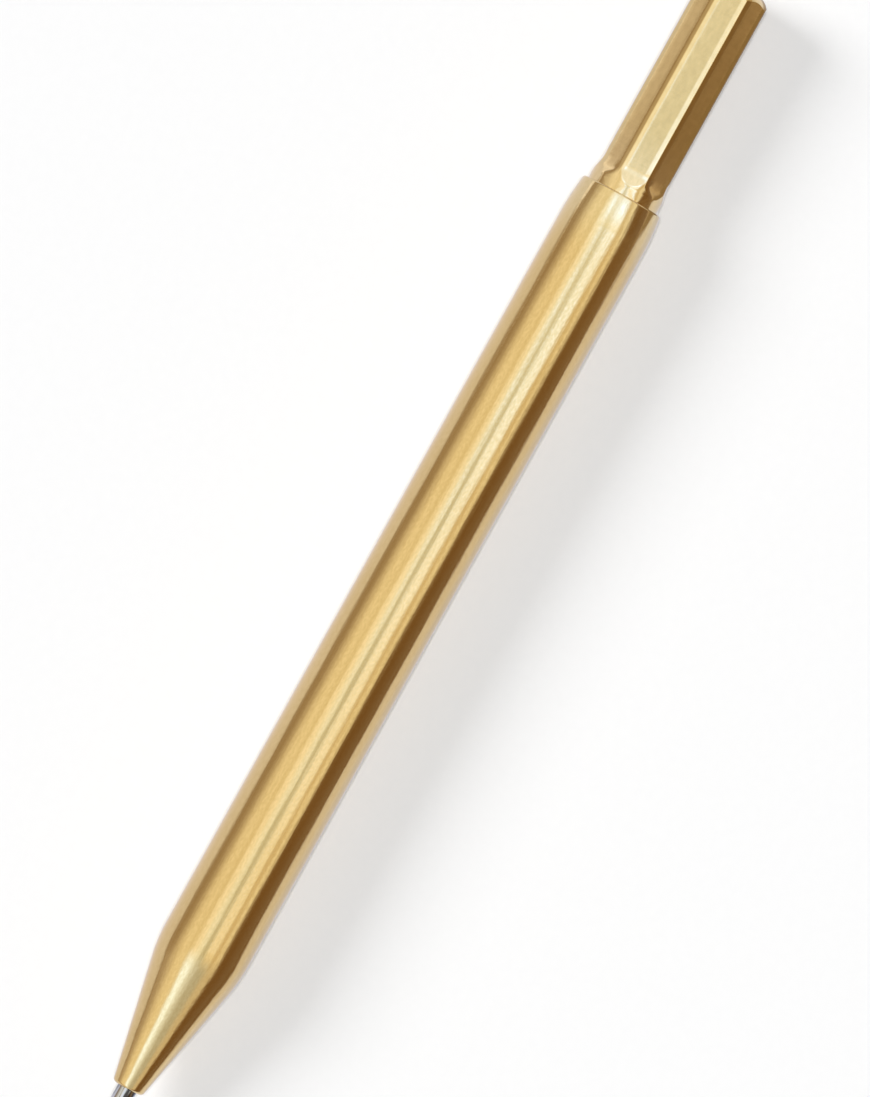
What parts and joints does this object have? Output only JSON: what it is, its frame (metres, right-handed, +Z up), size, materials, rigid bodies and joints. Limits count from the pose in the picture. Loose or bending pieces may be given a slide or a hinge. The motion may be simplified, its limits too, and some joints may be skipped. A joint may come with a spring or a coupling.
{
  "type": "retractable ballpoint pen",
  "caption": "Slim round brass pen with a tapered nose and a long faceted push button that extends and retracts a ballpoint refill by a click mechanism.",
  "frame": {"origin": "on the surface that the pen lies on, under the middle of its length with the point out", "axes": "+X along the pen, from the point to the end of the button; +Z up; +Y across the pen; one flat of the button faces +Z"},
  "size_m": [0.1446, 0.0104, 0.0105],
  "materials": {
    "satin_brass": "satin, polished along the axis",
    "turned_brass": "as turned",
    "sleeve_steel": "drawn",
    "spring_steel": "drawn wire",
    "refill_metal": "drawn tube",
    "nickel_silver": "bright turned",
    "carbide": "ground and polished",
    "black_acetal": "moulded",
    "white_acetal": "moulded",
    "black_rubber": "moulded",
    "ink": "wet paste"
  },
  "bodies": {
    "barrel": {"barrel": "satin_brass", "mount_collar": "turned_brass", "collar_washer": "white_acetal", "cam_sleeve": "sleeve_steel", "sleeve_cap": "turned_brass", "return_spring": "spring_steel"},
    "plunger": {"button": "satin_brass", "front_damper_ring": "black_rubber", "rear_damper_ring": "black_rubber", "thrust_cam": "black_acetal", "plunger_stud": "sleeve_steel"},
    "refill": {"refill_tube": "refill_metal", "refill_nose": "turned_brass", "refill_point": "nickel_silver", "refill_ink": "ink", "refill_plug": "white_acetal"},
    "cam": {"rotary_cam": "white_acetal", "cam_foot": "turned_brass"},
    "ball": {"writing_ball": "carbide"}
  },
  "joints": [
    {"name": "button_slide", "type": "slide", "parent": "barrel", "child": "plunger", "axis": [1, 0, 0], "range_m": [-0.0012, 0.005]},
    {"name": "refill_slide", "type": "slide", "parent": "barrel", "child": "refill", "axis": [1, 0, 0], "range_m": [-0.0012, 0.005], "deforming": ["return_spring"]},
    {"name": "cam_turn", "type": "hinge", "parent": "refill", "child": "cam", "pos_m": [0.0327, 0, 0.00525], "axis": [1, 0, 0], "continuous": true},
    {"name": "ball_roll", "type": "hinge", "parent": "refill", "child": "ball", "pos_m": [-0.07175, 0, 0.00525], "axis": [0, 1, 0], "continuous": true}
  ],
  "couplings": [
    {"joint": "refill_slide", "follows": "button_slide", "ratio": 1}
  ]
}
